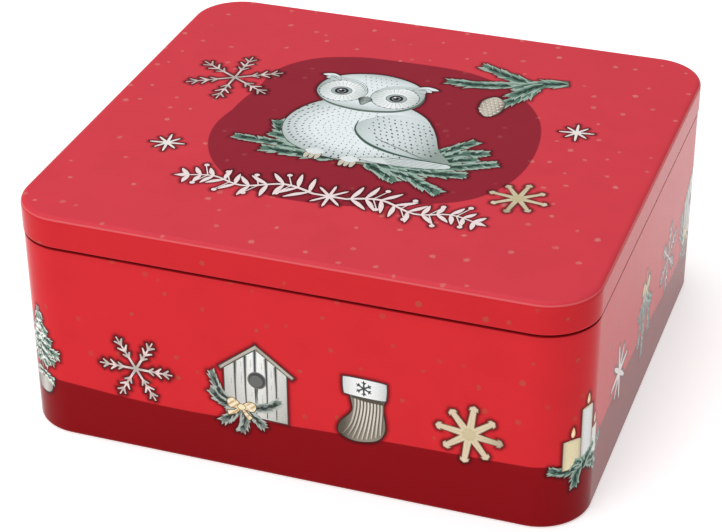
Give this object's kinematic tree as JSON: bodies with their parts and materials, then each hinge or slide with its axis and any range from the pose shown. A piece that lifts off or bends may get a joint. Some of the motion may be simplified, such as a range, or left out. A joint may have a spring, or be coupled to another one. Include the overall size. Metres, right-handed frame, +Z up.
{
  "type": "square cookie tin",
  "caption": "Square tinplate cookie tin with round corners, a flush slip-on lid that lifts straight off, and a recessed bottom.",
  "frame": {"origin": "centre of the base, on the surface that the tin stands on", "axes": "+Z up, +X along the longer side; the front wall faces -Y and the wall's weld runs up the +Y side"},
  "size_m": [0.21, 0.192, 0.091],
  "materials": {
    "lid_print": "gloss lacquer over red print",
    "wall_print": "gloss lacquer over red print",
    "bare_tinplate": "bright tinplate with clear lacquer"
  },
  "bodies": {
    "tin": {"body_wall": "wall_print", "bottom_plate": "bare_tinplate"},
    "lid": {"lid": "lid_print"}
  },
  "joints": [
    {"name": "lid_lift", "type": "slide", "parent": "tin", "child": "lid", "axis": [0, 0, 1], "range_m": [0, 0.12]}
  ]
}
